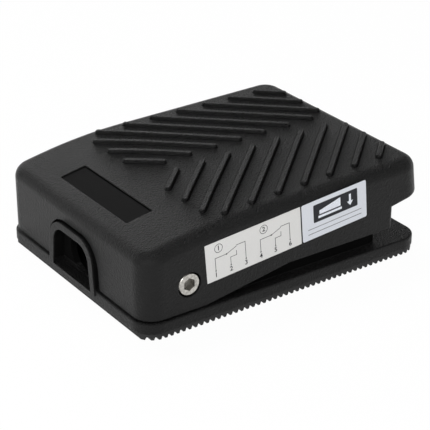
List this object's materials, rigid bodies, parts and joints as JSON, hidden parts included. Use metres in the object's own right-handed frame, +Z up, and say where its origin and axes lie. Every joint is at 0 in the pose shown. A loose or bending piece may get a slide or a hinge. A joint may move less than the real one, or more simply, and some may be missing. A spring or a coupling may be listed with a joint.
{
  "type": "foot switch",
  "caption": "Industrial foot switch: a wide moulded pedal with chevron tread ribs, hinged on a low base with a ribbed mat, over snap-action switches and springs, with an arched cable entry.",
  "frame": {"origin": "centre of the overall footprint, on the surface that the ridges of the mat stand on", "axes": "+X points from the heel with the cable entry to the toe, +Y to the left side, +Z up"},
  "size_m": [0.1458, 0.113, 0.0462],
  "materials": {
    "cover_plastic": "black moulded plastic with a fine satin texture",
    "tray_plastic": "black moulded plastic, slightly duller than the cover",
    "mat_rubber": "black ribbed rubber, matt",
    "inlay": "thin smooth black plate",
    "nickel": "nickel-plated steel",
    "zinc_steel": "zinc-plated steel",
    "stainless": "bright spring steel",
    "brass": "plain brass",
    "contact_bronze": "thin spring bronze with silver-coloured contact",
    "bush_plastic": "off-white bearing plastic",
    "switch_plastic": "dark moulded switch plastic",
    "plunger_plastic": "red moulded plastic"
  },
  "bodies": {
    "base": {"base_frame": "tray_plastic", "rubber_mat": "mat_rubber", "hinge_screws": "nickel", "hinge_inserts": "brass", "hinge_washers": "zinc_steel", "left_switch_case": "switch_plastic", "right_switch_case": "switch_plastic", "left_switch_lid": "switch_plastic", "right_switch_lid": "switch_plastic", "left_lever_pin": "stainless", "right_lever_pin": "stainless", "left_terminals": "brass", "right_terminals": "brass", "left_return_spring": "stainless", "right_return_spring": "stainless", "switch_bracket": "zinc_steel", "switch_bolts": "zinc_steel", "switch_nuts": "zinc_steel", "bracket_screws": "zinc_steel", "cable_clamp": "tray_plastic", "clamp_screws": "zinc_steel"},
    "pedal": {"pedal_cover": "cover_plastic", "inlay_plate": "inlay", "hinge_bushes": "bush_plastic", "actuator_screws": "zinc_steel", "actuator_nuts": "zinc_steel"},
    "left_lever": {"left_lever": "stainless"},
    "left_plunger": {"left_plunger": "plunger_plastic"},
    "left_blade": {"left_contact_blade": "contact_bronze"},
    "right_lever": {"right_lever": "stainless"},
    "right_plunger": {"right_plunger": "plunger_plastic"},
    "right_blade": {"right_contact_blade": "contact_bronze"}
  },
  "joints": [
    {"name": "pedal_hinge", "type": "hinge", "parent": "base", "child": "pedal", "pos_m": [-0.0502, 0, 0.0203], "axis": [0, 1, 0], "range_deg": [0, 4], "stiffness_Nm_per_rad": 19, "springref_deg": -2.98, "deforming": ["left_return_spring", "right_return_spring"]},
    {"name": "left_lever_hinge", "type": "hinge", "parent": "base", "child": "left_lever", "pos_m": [0.026, 0.0059, 0.0329], "axis": [0, 1, 0], "range_deg": [-5.5, 0]},
    {"name": "left_plunger_slide", "type": "slide", "parent": "base", "child": "left_plunger", "axis": [0, 0, 1], "range_m": [-0.00068, 0]},
    {"name": "left_blade_hinge", "type": "hinge", "parent": "base", "child": "left_blade", "pos_m": [0.0074, 0.0059, 0.0259], "axis": [0, 1, 0], "range_deg": [0, 3.2]},
    {"name": "right_lever_hinge", "type": "hinge", "parent": "base", "child": "right_lever", "pos_m": [0.026, -0.0059, 0.0329], "axis": [0, 1, 0], "range_deg": [-5.5, 0]},
    {"name": "right_plunger_slide", "type": "slide", "parent": "base", "child": "right_plunger", "axis": [0, 0, 1], "range_m": [-0.00068, 0]},
    {"name": "right_blade_hinge", "type": "hinge", "parent": "base", "child": "right_blade", "pos_m": [0.0074, -0.0059, 0.0259], "axis": [0, 1, 0], "range_deg": [0, 3.2]}
  ],
  "couplings": [
    {"joint": "left_lever_hinge", "follows": "pedal_hinge", "ratio": -1.375},
    {"joint": "left_plunger_slide", "follows": "pedal_hinge", "m_per_rad": -0.0096},
    {"joint": "left_blade_hinge", "follows": "pedal_hinge", "ratio": 0.8},
    {"joint": "right_lever_hinge", "follows": "pedal_hinge", "ratio": -1.375},
    {"joint": "right_plunger_slide", "follows": "pedal_hinge", "m_per_rad": -0.0096},
    {"joint": "right_blade_hinge", "follows": "pedal_hinge", "ratio": 0.8}
  ]
}
